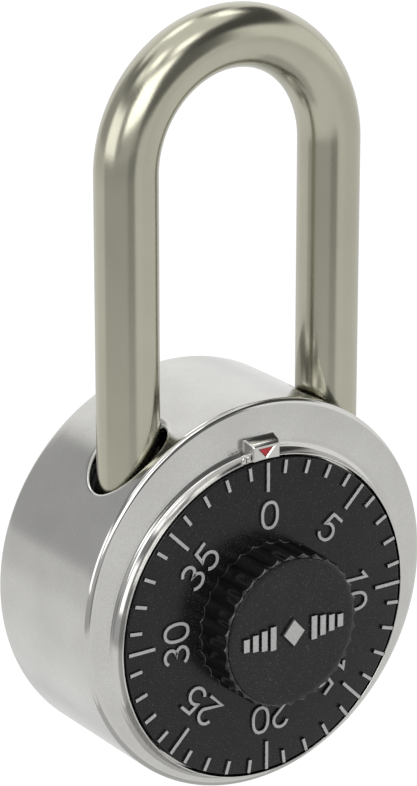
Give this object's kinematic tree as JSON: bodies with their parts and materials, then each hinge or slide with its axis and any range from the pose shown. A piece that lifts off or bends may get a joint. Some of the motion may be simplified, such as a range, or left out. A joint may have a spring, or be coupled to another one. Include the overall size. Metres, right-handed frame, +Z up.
{
  "type": "padlock",
  "caption": "Round dial combination padlock with a stainless case, a black numbered dial and knob, and a tall steel shackle.",
  "frame": {"origin": "the hang point: the underside of the shackle's crown, in the middle of the bar's section", "axes": "+X to the right as the dial is read, +Y out of the back of the case, +Z up along the shackle"},
  "size_m": [0.0476, 0.0258, 0.0929],
  "materials": {
    "stainless": "satin, fine grain",
    "shackle_steel": "polished, warm grey, lightly scratched",
    "dial_black": "satin with fine pale specks",
    "knob_black": "gloss",
    "mark_grey": "silver grey, satin, on the raised marks",
    "red_paint": "satin",
    "plated_steel": "zinc plated",
    "zinc": "as cast",
    "black_casting": "die-cast, black conversion coat, matt",
    "brass": "machined",
    "spring_steel": "bright drawn"
  },
  "bodies": {
    "case": {"outer_shell": "stainless", "index_triangle": "red_paint", "back_cover": "stainless", "guide_frame": "black_casting", "shackle_stop_pin": "plated_steel", "lever_pivot_pin": "plated_steel", "spindle_bush": "brass", "dial_friction_washer": "spring_steel", "wheel_post": "plated_steel", "wheel_retaining_clip": "spring_steel", "wheel_spacer": "plated_steel", "wheel_spring": "spring_steel", "lever_spring": "spring_steel"},
    "dial": {"dial_disc": "dial_black", "dial_knob": "knob_black", "knob_cap": "dial_black", "dial_spindle": "plated_steel", "drive_cam": "zinc"},
    "middle_wheel": {"middle_wheel": "brass"},
    "back_wheel": {"back_wheel": "brass"},
    "lever": {"fence_lever": "plated_steel", "latch_spring": "spring_steel"},
    "latch": {"spring_latch": "plated_steel"},
    "shackle": {"shackle": "shackle_steel"}
  },
  "joints": [
    {"name": "dial_spin", "type": "hinge", "parent": "case", "child": "dial", "pos_m": [0, 0, -0.064], "axis": [0, -1, 0], "continuous": true},
    {"name": "middle_wheel_turn", "type": "hinge", "parent": "dial", "child": "middle_wheel", "pos_m": [0, 0.0075, -0.064], "axis": [0, -1, 0], "range_deg": [-150, 180]},
    {"name": "back_wheel_turn", "type": "hinge", "parent": "middle_wheel", "child": "back_wheel", "pos_m": [0, 0.0096, -0.064], "axis": [0, -1, 0], "range_deg": [-330, 0]},
    {"name": "fence_lever_swing", "type": "hinge", "parent": "case", "child": "lever", "pos_m": [0.008, 0.0016, -0.053], "axis": [0, -1, 0], "range_deg": [0, 12.3], "stiffness_Nm_per_rad": 0.003, "springref_deg": -45.84, "deforming": ["lever_spring"]},
    {"name": "shackle_lift", "type": "slide", "parent": "case", "child": "shackle", "axis": [0, 0, 1], "range_m": [0, 0.012]},
    {"name": "latch_retract", "type": "slide", "parent": "lever", "child": "latch", "axis": [-1, 0, 0], "range_m": [0, 0.0054], "stiffness_N_per_m": 20, "springref_m": -0.01, "deforming": ["latch_spring"]}
  ],
  "couplings": [
    {"joint": "latch_retract", "follows": "shackle_lift", "ratio": 0.45}
  ]
}
